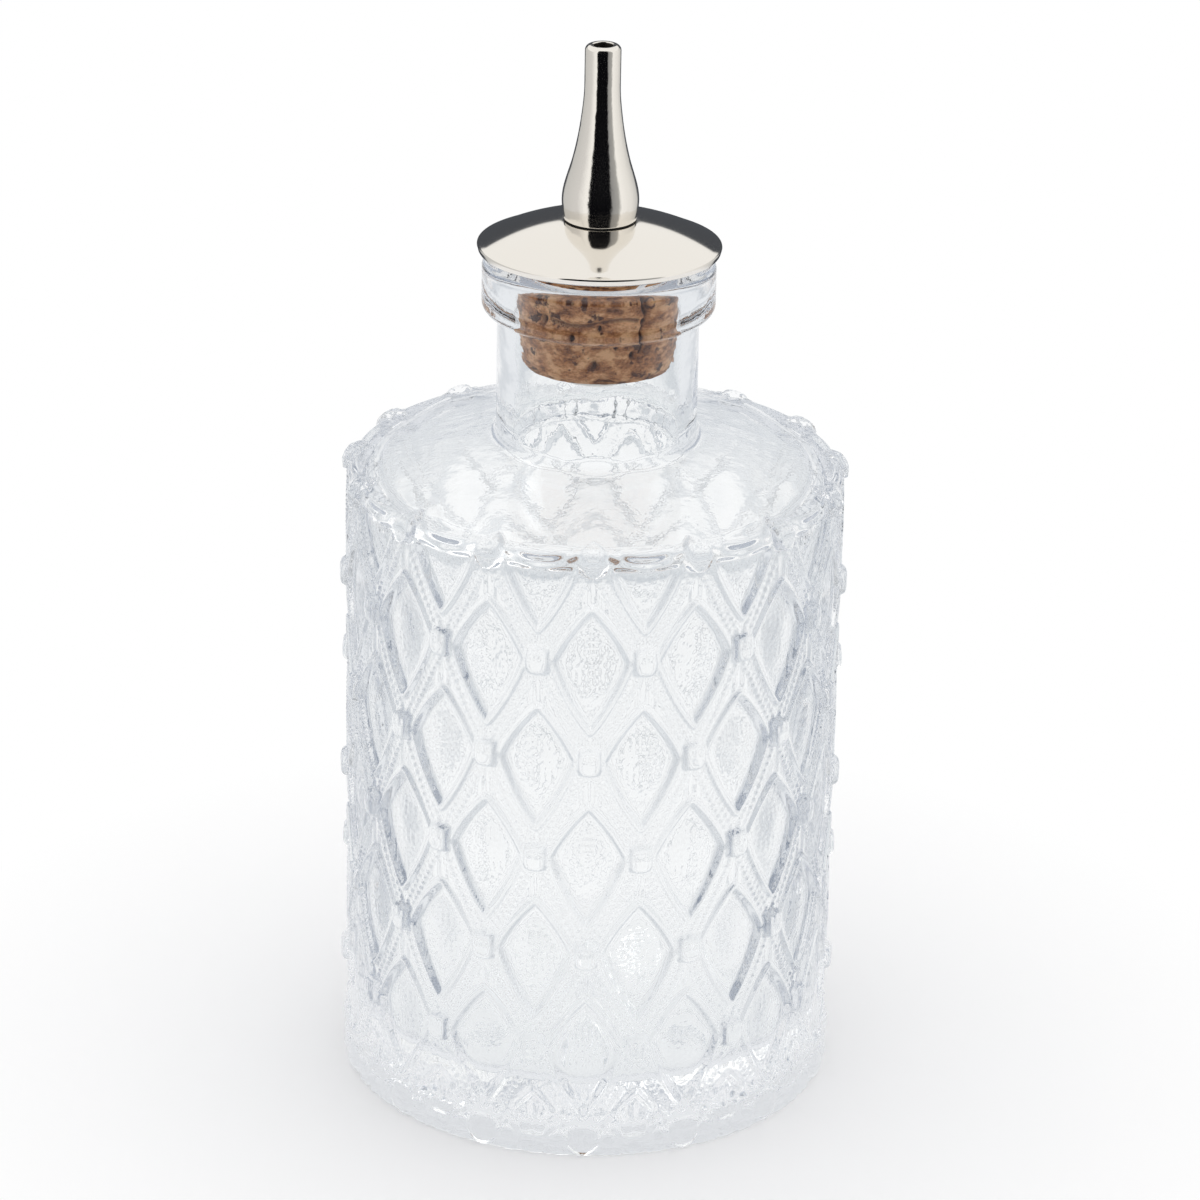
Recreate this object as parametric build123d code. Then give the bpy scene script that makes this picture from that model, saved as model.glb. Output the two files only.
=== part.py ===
from build123d import *
import math
import os

# A cut-glass style bitters bottle with a corked dasher top, in millimetres.
# The origin is the centre of the foot, where it stands. +Z is up, and a column of beads faces -Y.

# Glass bottle, outside
body_radius = 27.7
foot_radius = 28.3
foot_band_height = 2.4
shoulder_edge_height = 73.0
neck_root_height = 77.0
neck_length = 14.2
lip_height = 5.9
neck_radius = 11.2
lip_radius = 12.95
heel_rounding = 0.8
shoulder_rounding = 1.5
neck_root_rounding = 1.4
lip_lower_rounding = 1.2
lip_upper_rounding = 0.9
mouth_rounding = 0.7

# Recess under the foot
recess_radius = 20.5
recess_depth = 1.2
recess_slope = 1.4

# Glass bottle, inside
wall_thickness = 2.7
base_thickness = 7.6
shoulder_thickness = 3.0
cavity_floor_rounding = 2.6
cavity_shoulder_rounding = 2.4
neck_inner_rounding = 2.2

# Roundings over the fine one are turned in this many steps
fine_rounding = 1.3
rounding_steps = 2

# Diamond relief on the body. A pocket is a diamond whose sides bulge, and straight sides have a share of a half
column_count = 15
half_row_count = 6
top_row_drop = 0.6
lowest_row_height = 1.72
pocket_side_gap = 1.45
pocket_point_gap = 4.08
pocket_bulge_share = 0.575
pocket_depth = 1.1
pocket_flank_width = 0.5
pocket_point_depth = 0.5
shoulder_rim_height = 1.3

# Beads, buds and bulbs where the ribs cross
bead_width = 2.7
bead_height = 3.4
bead_rise = 0.75
bead_flank_width = 0.35
bead_root_depth = 0.5
bud_radius = 1.5
bud_side_count = 8
bud_end_radius = 0.7
bud_end_length = 0.6
bud_point_radius = 0.4
bud_point_length = 3.0
bud_lean_angle = 50.0
bud_sink = 0.3
bud_drop = 1.1
bulb_width = 2.9
bulb_rise = 0.6
bulb_flank_width = 0.3
bulb_root_depth = 0.9
bulb_foot_gap = 0.6

# Cork and stem
cork_top_radius = 9.15
cork_bottom_radius = 8.3
cork_depth = 11.5
cork_proud = 1.05
cork_edge_rounding = 0.35
cork_clearance = 0.06
stem_radius = 2.0
stem_bore_radius = 1.25
stem_clearance = 0.05
flange_radius = 4.2
flange_thickness = 1.8
flange_rounding = 0.5

# Disc on the cork
disc_radius = 13.55
disc_rim_thickness = 0.8
disc_rim_rounding = 0.25
disc_seat_radius = 4.3
disc_seat_rise = 3.55
disc_dome_share = 0.62
disc_dome_rise_share = 0.68
disc_dome_rounding = 12.0

# Seal and spout
seal_radius = 3.8
seal_thickness = 0.15
spout_height = 19.7
spout_foot_radius = 3.95
spout_belly_radius = 4.25
spout_belly_height = 2.15
spout_waist_radius = 3.15
spout_waist_height = 6.85
spout_throat_radius = 2.32
spout_throat_height = 11.2
spout_tip_radius = 1.98
spout_tip_start_height = 15.2
outlet_radius = 1.0
outlet_depth = 1.4
tip_flat_width = 0.15
thread_pitch = 0.7
thread_turns = 6
socket_end_clearance = 0.3
spout_steps = 12

# One overrun for all cuts
overrun = 2.0

# Sizes worked out from the ones above
lip_bottom_height = neck_root_height + neck_length
lip_top_height = lip_bottom_height + lip_height
column_angle = 360 / column_count
top_row_height = shoulder_edge_height - top_row_drop
half_row_pitch = (top_row_height - lowest_row_height) / half_row_count
pocket_half_width = body_radius * math.sin(math.radians(column_angle / 2)) - pocket_side_gap
pocket_half_height = half_row_pitch - pocket_point_gap
cavity_radius = body_radius - wall_thickness
bulb_root_spread = bulb_flank_width * bulb_root_depth / bulb_rise
bulb_centre_height = bulb_foot_gap + bulb_width / 2 + bulb_root_spread
cork_top_height = lip_top_height + cork_proud
cork_bottom_height = lip_top_height - cork_depth
cork_height = cork_top_height - cork_bottom_height
cork_taper = (cork_top_radius - cork_bottom_radius) / cork_height
cork_mouth_radius = cork_top_radius - cork_taper * (cork_proud + mouth_rounding)
neck_bore_radius = cork_mouth_radius + cork_clearance
stem_hole_radius = stem_radius + stem_clearance
disc_top_height = cork_top_height + disc_seat_rise
spout_base_height = disc_top_height + seal_thickness
thread_length = thread_pitch * thread_turns
stem_top_height = spout_base_height + thread_length
flange_bottom_height = cork_bottom_height - flange_thickness


def row_height(row):
    """Height of a row of crossings, counted down from the shoulder."""
    return top_row_height - row * half_row_pitch


def turned(corners):
    """Turn a closed outline round the axis. A corner is its radius, its height and its rounding."""
    points = [(radius, 0, height) for radius, height, rounding in corners]
    roundings = [rounding for radius, height, rounding in corners]
    outline = FilletPolyline(*points, radius=roundings, close=True)
    return revolve(make_face(outline.edges()), Axis.Z)


def softened(corners):
    """The same outline with each rounding drawn as short straight steps along its arc."""
    outline = []
    for place, (radius, height, rounding) in enumerate(corners):
        here = Vector(radius, height)
        before = Vector(*corners[place - 1][:2]) - here
        after = Vector(*corners[(place + 1) % len(corners)][:2]) - here
        half_angle = math.radians(before.get_angle(after)) / 2
        reach = rounding / math.tan(half_angle)
        middle = (before.normalized() + after.normalized()).normalized()
        centre = here + middle * (rounding / math.sin(half_angle))
        steps = rounding_steps if rounding > fine_rounding else 1
        start = here + before.normalized() * reach - centre
        finish = here + after.normalized() * reach - centre
        for step in range(steps + 1 if rounding else 1):
            share = step / steps
            spoke = start * (1 - share) + finish * share
            point = centre + spoke.normalized() * rounding if rounding else here
            outline.append((point.X, point.Y, 0))
    return outline


def plain_bottle():
    """The bottle before its relief, with its recess, its lip and its open inside."""
    shoulder_slope = (neck_root_height - shoulder_edge_height) / (body_radius - neck_radius)
    inner_neck_height = neck_root_height - shoulder_thickness + shoulder_slope * (neck_radius - neck_bore_radius)
    inner_shoulder_height = shoulder_edge_height - shoulder_thickness + shoulder_slope * wall_thickness
    outside = [
        (0, recess_depth, 0),
        (recess_radius, recess_depth, 0),
        (recess_radius + recess_slope, 0, 0),
        (foot_radius, 0, heel_rounding),
        (foot_radius, foot_band_height, 0),
        (body_radius, foot_band_height, 0),
        (body_radius, shoulder_edge_height, shoulder_rounding),
        (neck_radius, neck_root_height, neck_root_rounding),
        (neck_radius, lip_bottom_height, 0),
        (lip_radius, lip_bottom_height, lip_lower_rounding),
        (lip_radius, lip_top_height, lip_upper_rounding),
    ]
    inside = [
        (neck_bore_radius, lip_top_height, mouth_rounding),
        (neck_bore_radius, inner_neck_height, neck_inner_rounding),
        (cavity_radius, inner_shoulder_height, cavity_shoulder_rounding),
        (cavity_radius, base_thickness, cavity_floor_rounding),
        (0, base_thickness, 0),
    ]
    round_bottle = turned(softened(outside + inside))
    facets = RegularPolygon(body_radius, 2 * column_count, rotation=column_angle / 4)
    foot_band = Cylinder(foot_radius + overrun, 2 * foot_band_height)
    return round_bottle & (extrude(facets, lip_top_height) + foot_band)


def flat_sided_block(low, high):
    """A solid with flat sides between two flat outlines that have matching corners."""
    faces = [make_face(Polyline(*low, close=True)), make_face(Polyline(*high, close=True))]
    for corner in range(len(low)):
        side = Polyline(low[corner - 1], low[corner], high[corner], high[corner - 1], close=True)
        faces.append(make_face(side))
    return Solid(Shell([flat.face() for flat in faces]))


def pocket_outline(distance, growth):
    """The corners of a pocket at one distance from the axis, in front of the bottle."""
    across = pocket_half_width + growth
    up = pocket_half_height + growth * pocket_half_height / pocket_half_width
    side = pocket_bulge_share * across
    slant = pocket_bulge_share * up
    quarter = [(across, 0), (side, slant), (0, up), (-side, slant)]
    corners = quarter + [(-x, -z) for x, z in quarter]
    return [(x, -distance, z) for x, z in corners]


def pocket_cutter():
    """What one full cell takes out of the glass: sloping flanks round a floor that rises to a point."""
    flank_slope = pocket_flank_width / pocket_depth
    floor = pocket_outline(body_radius - pocket_depth, -pocket_flank_width)
    outside = pocket_outline(body_radius + overrun, flank_slope * overrun)
    point = (0, pocket_point_depth - body_radius, 0)
    faces = [make_face(Polyline(*outside, close=True))]
    for corner in range(len(floor)):
        edge = [floor[corner - 1], floor[corner]]
        faces.append(make_face(Polyline(*edge, outside[corner], outside[corner - 1], close=True)))
        faces.append(make_face(Polyline(*edge, point, close=True)))
    return Solid(Shell([flat.face() for flat in faces]))


def band(bottom_height, top_height):
    """All of the space round the bottle between two heights."""
    height = top_height - bottom_height
    middle = (top_height + bottom_height) / 2
    return Pos(0, 0, middle) * Cylinder(body_radius + overrun, height)


def round_the_bottle(shape, height, column_offset):
    """Copies of a front shape at one height, one for each column of the lattice."""
    angles = [(column + column_offset) * column_angle for column in range(column_count)]
    return [Rot(0, 0, angle) * Pos(0, 0, height) * shape for angle in angles]


def pockets():
    """The pockets of all cells, with half cells under the shoulder and over the foot."""
    cutter = pocket_cutter()
    shapes = []
    for row in range(1, half_row_count):
        shapes += round_the_bottle(cutter, row_height(row), (row + 1) % 2 / 2)
    shoulder_band = band(-half_row_pitch, -shoulder_rim_height)
    foot_band = band(foot_band_height - lowest_row_height, half_row_pitch)
    shapes += round_the_bottle(cutter & shoulder_band, row_height(0), 1 / 2)
    shapes += round_the_bottle(cutter & foot_band, row_height(half_row_count), 1 / 2)
    return shapes


def pad(ground, width, height, rise, flank_width, root_depth):
    """A four-sided pad with sloping flanks that stands on the ground radius, in front of the bottle."""
    root_spread = flank_width * root_depth / rise

    def outline(distance, growth):
        half_width = width / 2 + growth
        half_height = height / 2 + growth
        return [(half_width, -distance, half_height), (-half_width, -distance, half_height),
                (-half_width, -distance, -half_height), (half_width, -distance, -half_height)]

    return flat_sided_block(outline(ground - root_depth, root_spread), outline(ground + rise, -flank_width))


def bud_outline(radius, height):
    """The corners of one section of a bud."""
    angles = [2 * math.pi * side / bud_side_count for side in range(bud_side_count)]
    return [(radius * math.cos(angle), radius * math.sin(angle), height) for angle in angles]


def bud():
    """A fluted teardrop that lies over the shoulder's edge, with its point on the shoulder."""
    widest = bud_outline(bud_radius, 0)
    round_end = flat_sided_block(bud_outline(bud_end_radius, -bud_end_length), widest)
    point = flat_sided_block(widest, bud_outline(bud_point_radius, bud_point_length))
    return Pos(0, bud_sink - body_radius, -bud_drop) * Rot(-bud_lean_angle, 0, 0) * (round_end + point)


def knobs():
    """Buds along the shoulder, beads where the ribs cross and bulbs along the foot."""
    bead = pad(body_radius, bead_width, bead_height, bead_rise, bead_flank_width, bead_root_depth)
    bulb = pad(foot_radius, bulb_width, bulb_width, bulb_rise, bulb_flank_width, bulb_root_depth)
    shapes = round_the_bottle(bud(), shoulder_edge_height, 0)
    for row in range(1, half_row_count):
        shapes += round_the_bottle(bead, row_height(row), row % 2 / 2)
    shapes += round_the_bottle(bulb, bulb_centre_height, 0)
    return shapes


def glass_bottle():
    """The moulded bottle with its diamond relief."""
    return plain_bottle() - pockets() + knobs()


def cork_stopper():
    """The tapered cork, bored for the stem."""
    return turned(softened([
        (stem_hole_radius, cork_bottom_height, 0),
        (cork_bottom_radius, cork_bottom_height, cork_edge_rounding),
        (cork_top_radius, cork_top_height, 0),
        (stem_hole_radius, cork_top_height, 0),
    ]))


def stem_tube():
    """The hollow stem, with the flange that holds the cork from below."""
    return turned(softened([
        (stem_bore_radius, flange_bottom_height, 0),
        (flange_radius, flange_bottom_height, flange_rounding),
        (flange_radius, cork_bottom_height, 0),
        (stem_radius, cork_bottom_height, 0),
        (stem_radius, stem_top_height, 0),
        (stem_bore_radius, stem_top_height, 0),
    ]))


def cap_disc():
    """The thin disc on the cork, domed up to a flat seat for the spout."""
    rim_top_height = cork_top_height + disc_rim_thickness
    dome_radius = disc_radius - disc_dome_share * (disc_radius - disc_seat_radius)
    dome_height = rim_top_height + disc_dome_rise_share * (disc_top_height - rim_top_height)
    return turned(softened([
        (stem_hole_radius, cork_top_height, 0),
        (disc_radius, cork_top_height, disc_rim_rounding),
        (disc_radius, rim_top_height, disc_rim_rounding),
        (dome_radius, dome_height, disc_dome_rounding),
        (disc_seat_radius, disc_top_height, 0),
        (stem_hole_radius, disc_top_height, 0),
    ]))


def spout_seal():
    """The thin sealing ring between the disc and the spout."""
    return turned([
        (stem_hole_radius, disc_top_height, 0),
        (seal_radius, disc_top_height, 0),
        (seal_radius, spout_base_height, 0),
        (stem_hole_radius, spout_base_height, 0),
    ])


def spout():
    """The hollow turned spout, with a socket for the stem and a narrow outlet."""
    base = spout_base_height
    tip = base + spout_height
    socket_top = stem_top_height + socket_end_clearance
    tip_rounding = (spout_tip_radius - outlet_radius - tip_flat_width) / 2
    belly_to_tip = Spline(
        (spout_foot_radius, base),
        (spout_belly_radius, base + spout_belly_height),
        (spout_waist_radius, base + spout_waist_height),
        (spout_throat_radius, base + spout_throat_height),
        (spout_tip_radius, base + spout_tip_start_height),
        tangents=((spout_belly_radius - spout_foot_radius, spout_belly_height / 2), (0, 1)),
    )
    side_points = [belly_to_tip @ (step / spout_steps) for step in range(spout_steps + 1)]
    side = [(point.X, point.Y, 0) for point in side_points]
    return turned(softened(side + [
        (spout_tip_radius, tip, tip_rounding),
        (outlet_radius, tip, tip_rounding),
        (outlet_radius, tip - outlet_depth, 0),
        (stem_bore_radius, tip - outlet_depth, 0),
        (stem_bore_radius, socket_top, 0),
        (stem_hole_radius, socket_top, 0),
        (stem_hole_radius, base, 0),
    ]))


pieces = {
    "glass_bottle": glass_bottle,
    "cork_stopper": cork_stopper,
    "stem_tube": stem_tube,
    "cap_disc": cap_disc,
    "spout_seal": spout_seal,
    "spout": spout,
}

os.makedirs("parts", exist_ok=True)
for name, make in pieces.items():
    export_step(make(), "parts/" + name + ".step")
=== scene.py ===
import math

import bpy
import numpy as np
from mathutils import Matrix


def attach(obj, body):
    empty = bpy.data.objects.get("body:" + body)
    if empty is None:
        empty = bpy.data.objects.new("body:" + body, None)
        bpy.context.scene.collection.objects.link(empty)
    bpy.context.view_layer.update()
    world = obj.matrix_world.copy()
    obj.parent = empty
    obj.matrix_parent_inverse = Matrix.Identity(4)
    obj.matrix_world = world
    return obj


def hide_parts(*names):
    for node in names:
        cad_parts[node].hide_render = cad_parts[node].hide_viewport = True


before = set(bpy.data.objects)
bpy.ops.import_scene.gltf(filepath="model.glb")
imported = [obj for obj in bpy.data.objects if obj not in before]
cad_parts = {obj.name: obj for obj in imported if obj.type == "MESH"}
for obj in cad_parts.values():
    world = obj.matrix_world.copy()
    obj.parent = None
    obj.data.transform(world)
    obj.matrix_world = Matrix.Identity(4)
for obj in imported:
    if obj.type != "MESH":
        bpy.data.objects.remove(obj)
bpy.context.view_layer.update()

# All sizes are in millimetres, and the mesh builders turn them into metres.
metres_per_mm = 0.001

# Keeps divisions clear of zero
tiny = 1e-6

# Glass bottle, the same sizes as in the CAD source
body_radius = 27.7
foot_radius = 28.3
foot_band_height = 2.4
shoulder_edge_height = 73.0
neck_root_height = 77.0
neck_length = 14.2
lip_height = 5.9
neck_radius = 11.2
lip_radius = 12.95
heel_rounding = 0.8
shoulder_rounding = 1.5
neck_root_rounding = 1.4
lip_lower_rounding = 1.2
lip_upper_rounding = 0.9
mouth_rounding = 0.7
recess_radius = 20.5
recess_depth = 1.2
recess_slope = 1.4
wall_thickness = 2.7
base_thickness = 7.6
shoulder_thickness = 3.0
cavity_floor_rounding = 2.6
cavity_shoulder_rounding = 2.4
neck_inner_rounding = 2.2
column_count = 15
half_row_count = 6
top_row_drop = 0.6
lowest_row_height = 1.72

# Cork, stem, disc, seal and spout, the same sizes as in the CAD source
cork_top_radius = 9.15
cork_bottom_radius = 8.3
cork_depth = 11.5
cork_proud = 1.05
cork_edge_rounding = 0.35
cork_clearance = 0.06
stem_radius = 2.0
stem_bore_radius = 1.25
stem_clearance = 0.05
flange_radius = 4.2
flange_thickness = 1.8
flange_rounding = 0.5
disc_radius = 13.55
disc_rim_thickness = 0.8
disc_seat_radius = 4.3
disc_seat_rise = 3.55
seal_radius = 3.8
seal_thickness = 0.15
spout_height = 19.7
spout_foot_radius = 3.95
spout_belly_radius = 4.25
spout_belly_height = 2.15
spout_waist_radius = 3.15
spout_waist_height = 6.85
spout_throat_radius = 2.32
spout_throat_height = 11.2
spout_tip_radius = 1.98
spout_tip_start_height = 15.2
outlet_radius = 1.0
outlet_depth = 1.4
thread_pitch = 0.7
thread_turns = 6
socket_end_clearance = 0.3

# Roundings, slopes and a lean that only the visual model has, and the disc's dome as the photograph shows it
lip_root_rounding = 0.5
recess_rounding = 0.4
cork_bevel_share = 0.3
disc_rim_rounding = 0.22
disc_rim_undercut = 0.22
disc_tilt_rise = 0.35
disc_dome_share = 0.5
disc_dome_rise_share = 0.8
seal_squeeze_gap = 0.01
spout_foot_slope = 0.22
spout_waist_slope = -0.25
spout_throat_slope = -0.13
tip_outer_rounding = 0.6
tip_inner_rounding = 0.12

# Relief of the cut-glass pattern. Rises and grounds are measured from the body radius
band_ground = -0.1
cell_half_width = 4.35
cell_top_height = 6.3
cell_bottom_height = 8.3
cell_power = 1.18
cell_ground = -0.5
border_half_width = 0.5
border_crest = 0.3
facet_share = 0.7
facet_rise = 0.4
stipple_rise = 0.022
stipple_pitch = 0.75
stipple_turns = (0.3, 1.15, 2.05, 2.8)
stipple_bend = 1.7
stipple_bend_pace = 1.3
pearl_pitch = 0.85
pearl_radius = 0.32
pearl_rise = 0.22
pearl_offset = 0.42
stem_line_offset = 0.6
stem_line_half_width = 0.3
stem_line_rise = 0.07
stem_line_fade = 0.4

# Beads where the ribs cross. Their upper part is fluted
bead_half_width = 1.38
bead_half_height = 1.7
bead_power = 3.0
bead_crest = 0.95
bead_flute_depth = 0.12
bead_flute_pitch = 0.92
bead_flute_end = 0.2
bead_flute_fade = 0.25

# Buds over the shoulder's edge, with a leaf on each side. Heights run on over the edge along the surface
bud_half_width = 1.6
bud_bottom_depth = 2.3
bud_widest_depth = 0.9
bud_top_length = 2.4
bud_taper_power = 2.2
bud_rise = 0.85
bud_tip_rise_share = 0.2
bud_flute_count = 7
bud_flute_depth = 0.09
leaf_offset = 2.05
leaf_height = 0.1
leaf_half_width = 0.85
leaf_half_height = 0.55
leaf_rise = 0.14
leaf_slant = 0.5
scallop_half_width = 3.3
scallop_half_height = 0.75
scallop_drop = 0.15
scallop_sag = 0.8
scallop_depth = 0.45
rim_height = 1.9
rim_fade = 0.5

# Foot band, with a bulb under an arch below each column of full cells, and a shell between two columns
foot_band_fade = 0.5
teeth_per_column = 4
tooth_depth = 0.6
bulb_height = 2.1
bulb_radius = 1.85
bulb_crest = 1.05
arch_height = 1.1
arch_radius = 4.3
arch_flatness = 1.4
arch_half_width = 0.45
arch_rise = 0.45
fan_reach = 3.2
fan_line_turn = math.radians(24)
fan_rise = 0.4
shell_middle = 3.2
shell_half_reach = 2.6
shell_line_turn = math.radians(22.5)
shell_rise = 0.22

# Cork side: dents, and the squeezed band at the mouth. Places across count from the front
crack_across = 4.6
crack_half_width = 0.5
crack_wander = 0.25
crack_wander_pace = 1.9
crack_bottom = 88.5
crack_fade = 1.0
crack_depth = 0.8
ledge_height = 93.0
ledge_half_height = 0.6
ledge_wander = 0.4
ledge_wander_pace = 0.7
ledge_reach = 7.0
ledge_depth = 0.5
# Each pit has its place across, its height and its size
cork_pits = [
    (-0.3, 87.8, 0.9),
    (-2.6, 91.2, 0.5),
    (1.9, 90.0, 0.5),
    (-5.6, 92.8, 0.7),
    (0.2, 92.4, 0.4),
    (3.7, 88.9, 0.6),
]
pit_stretch = 1.3
pit_depth = 0.9
chip_pace = 1.3
chip_second_share = 0.6
chip_second_shift = 1
chip_depth = 0.5
chip_height = 1.4
squeeze_drop = 1.3
squeeze_half_height = 1.5
squeeze_rise = 0.25
squeeze_overlap = 0.02

# Star under the base
star_outer_radius = 19.0
star_depth = 0.6

# Slight waves of the inner surface, as a pressed or blown inside has
inner_wave = 0.2
floor_dome = 0.8
floor_wave = 0.25
floor_wave_length = 1.0
neck_wave = 0.07
slow_wave_count = 4
slow_wave_length = 4.5

# Fineness of the meshes
relief_steps_per_column = 50
relief_row_step = 0.24
plain_turn_steps = 150
inside_turn_steps = 300
inside_row_step = 1.2
star_steps = 16
arc_step = math.radians(9)
piece_turn_steps = 160
spout_curve_steps = 16
disc_dome_steps = 32
seal_edge_steps = 8
cork_turn_steps = 300
cork_row_step = 0.15

# Sizes worked out from the ones above
lip_bottom_height = neck_root_height + neck_length
lip_top_height = lip_bottom_height + lip_height
column_turn = 2 * math.pi / column_count
column_width = body_radius * column_turn
tooth_pitch = column_width / teeth_per_column
top_row_height = shoulder_edge_height - top_row_drop
half_row_pitch = (top_row_height - lowest_row_height) / half_row_count
lattice_half_width = column_width / 2
lattice_edge = math.hypot(lattice_half_width, half_row_pitch)
lattice_reach = lattice_half_width * half_row_pitch / lattice_edge
relief_turn_steps = relief_steps_per_column * column_count
foot_rise = foot_radius - body_radius
cavity_radius = body_radius - wall_thickness
shoulder_slope = (neck_root_height - shoulder_edge_height) / (body_radius - neck_radius)
cork_top_height = lip_top_height + cork_proud
cork_bottom_height = lip_top_height - cork_depth
cork_taper = (cork_top_radius - cork_bottom_radius) / (cork_top_height - cork_bottom_height)
cork_mouth_radius = cork_top_radius - cork_taper * (cork_proud + mouth_rounding)
neck_bore_radius = cork_mouth_radius + cork_clearance
stem_hole_radius = stem_radius + stem_clearance
disc_top_height = cork_top_height + disc_seat_rise
spout_base_height = disc_top_height + seal_thickness
stem_top_height = spout_base_height + thread_pitch * thread_turns
flange_bottom_height = cork_bottom_height - flange_thickness


def rounded(corners):
    """An open outline with its corners rounded. A corner is its radius, its height and its rounding."""
    outline = [corners[0][:2]]
    for place in range(1, len(corners) - 1):
        here = np.array(corners[place][:2])
        rounding = corners[place][2]
        if not rounding:
            outline.append(tuple(here))
            continue
        before = np.array(corners[place - 1][:2]) - here
        after = np.array(corners[place + 1][:2]) - here
        before /= np.hypot(*before)
        after /= np.hypot(*after)
        half_angle = math.acos(np.clip(before @ after, -1, 1)) / 2
        reach = rounding / math.tan(half_angle)
        middle = (before + after) / np.hypot(*(before + after))
        centre = here + middle * rounding / math.sin(half_angle)
        start = here + before * reach - centre
        finish = here + after * reach - centre
        sweep = math.pi - 2 * half_angle
        steps = max(2, math.ceil(sweep / arc_step))
        for step in range(steps + 1):
            angle = sweep * step / steps
            spoke = (math.sin(sweep - angle) * start + math.sin(angle) * finish) / math.sin(sweep)
            outline.append(tuple(centre + spoke))
    outline.append(corners[-1][:2])
    return outline


def ring(radius, height, count):
    """Corners round the axis, from the front of the bottle, in millimetres."""
    turns = np.arange(count) * (2 * math.pi / count) - math.pi / 2
    radius = np.broadcast_to(radius, turns.shape)
    height = np.broadcast_to(height, turns.shape)
    return np.stack([radius * np.cos(turns), radius * np.sin(turns), height], axis=1)


def joined(low, low_count, high, high_count):
    """The faces between two rings. One count is a whole multiple of the other, or a ring is one point."""
    if high_count == 1:
        return [[low + place, low + (place + 1) % low_count, high] for place in range(low_count)]
    if low_count == 1:
        return [[high + (place + 1) % high_count, high + place, low] for place in range(high_count)]
    count = min(low_count, high_count)
    low_step = low_count // count
    high_step = high_count // count
    faces = []
    for place in range(count):
        lower = [low + (place * low_step + step) % low_count for step in range(low_step + 1)]
        upper = [high + (place * high_step + step) % high_count for step in range(high_step + 1)]
        faces.append(lower + upper[::-1])
    return faces


def skin(name, rings, closed=False):
    """A mesh through rings of corners. Rings that meet with unlike counts are joined by wider faces."""
    corners = np.concatenate(rings) * metres_per_mm
    starts = np.cumsum([0] + [len(one) for one in rings])
    pairs = list(zip(range(len(rings) - 1), range(1, len(rings))))
    if closed:
        pairs.append((len(rings) - 1, 0))
    faces = []
    for low, high in pairs:
        faces += joined(starts[low], len(rings[low]), starts[high], len(rings[high]))
    mesh = bpy.data.meshes.new(name)
    mesh.from_pydata(corners.tolist(), [], faces)
    mesh.shade_smooth()
    mesh.update()
    piece = bpy.data.objects.new(name, mesh)
    bpy.context.scene.collection.objects.link(piece)
    return piece


def turned(name, outline):
    """A turned piece from its closed outline, which goes round with the solid on its left."""
    return skin(name, [ring(radius, height, piece_turn_steps) for radius, height in outline], closed=True)


def bump(distance, half_width):
    """A smooth round-topped ridge that is 1 in its middle and 0 from its half width on."""
    share = np.clip(np.abs(distance) / half_width, 0, 1)
    return (1 - share ** 2) ** 2


def dome(share):
    """A round dome over a region: 1 in its middle, and 0 with a steep foot where the share reaches 1."""
    return np.sqrt(np.clip(1 - share ** 2, 0, 1))


def ease(value, low, high):
    """0 below low, 1 above high, and smooth between them."""
    share = np.clip((value - low) / (high - low), 0, 1)
    return share * share * (3 - 2 * share)


def nearest(value, offset, pitch):
    """How far a value lies from the nearest of the places offset, offset + pitch and so on."""
    return value - offset - pitch * np.round((value - offset) / pitch)


def superellipse(across, up, half_width, half_height, power):
    """A share that is 0 in the middle of a rounded diamond or square and 1 on its outline."""
    wide = np.abs(across) / half_width
    high = np.abs(up) / half_height
    return (wide ** power + high ** power) ** (1 / power)


def lattice_share(across, up):
    """A share that is 0 in the middle of one diamond of the lattice and 1 on its edges."""
    return np.abs(across) / lattice_half_width + np.abs(up) / half_row_pitch


def stipple(across, up):
    """A fine uneven texture of crossing bent waves, the same on every run."""
    total = np.zeros(np.broadcast(across, up).shape)
    for turn in stipple_turns:
        along = (across * math.cos(turn) + up * math.sin(turn)) / stipple_pitch
        aside = (up * math.cos(turn) - across * math.sin(turn)) / stipple_pitch
        bend = stipple_bend * np.sin(stipple_bend_pace * aside + turn)
        total = total + np.sin(2 * math.pi * along + bend)
    return total / math.sqrt(len(stipple_turns))


def cell_surface(across, up):
    """One cell with its border, and the band of pearls and stem lines round it. Up counts down."""
    reach = np.where(up < 0, cell_top_height, cell_bottom_height)
    wide = np.abs(across) / cell_half_width
    high = np.abs(up) / reach
    size = superellipse(across, up, cell_half_width, reach, cell_power) + tiny
    slope_across = (wide / size) ** (cell_power - 1) / cell_half_width
    slope_up = (high / size) ** (cell_power - 1) / reach
    outside = (size - 1) / np.hypot(slope_across, slope_up)
    inside_share = ease(-outside, 0, 2 * border_half_width)
    ground = band_ground + (cell_ground - band_ground) * inside_share
    facet = facet_rise * bump(np.hypot(wide, high), facet_share)
    grains = stipple_rise * stipple(across, up) * inside_share
    border = (border_crest - band_ground) * bump(outside, border_half_width)

    along = (np.abs(up) * half_row_pitch - np.abs(across) * lattice_half_width) / lattice_edge
    aside = (1 - lattice_share(across, up)) * lattice_reach - pearl_offset
    pearl_reach = np.hypot(nearest(along, 0, pearl_pitch), aside) / pearl_radius
    clear_of_border = ease(outside, border_half_width, border_half_width + pearl_radius)
    pearls = pearl_rise * dome(pearl_reach) * clear_of_border
    past_cell = ease(np.abs(up), reach, reach + stem_line_fade)
    stems = stem_line_rise * bump(np.abs(across) - stem_line_offset, stem_line_half_width) * past_cell
    return ground + facet + grains + np.maximum(border, np.maximum(pearls, stems))


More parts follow.
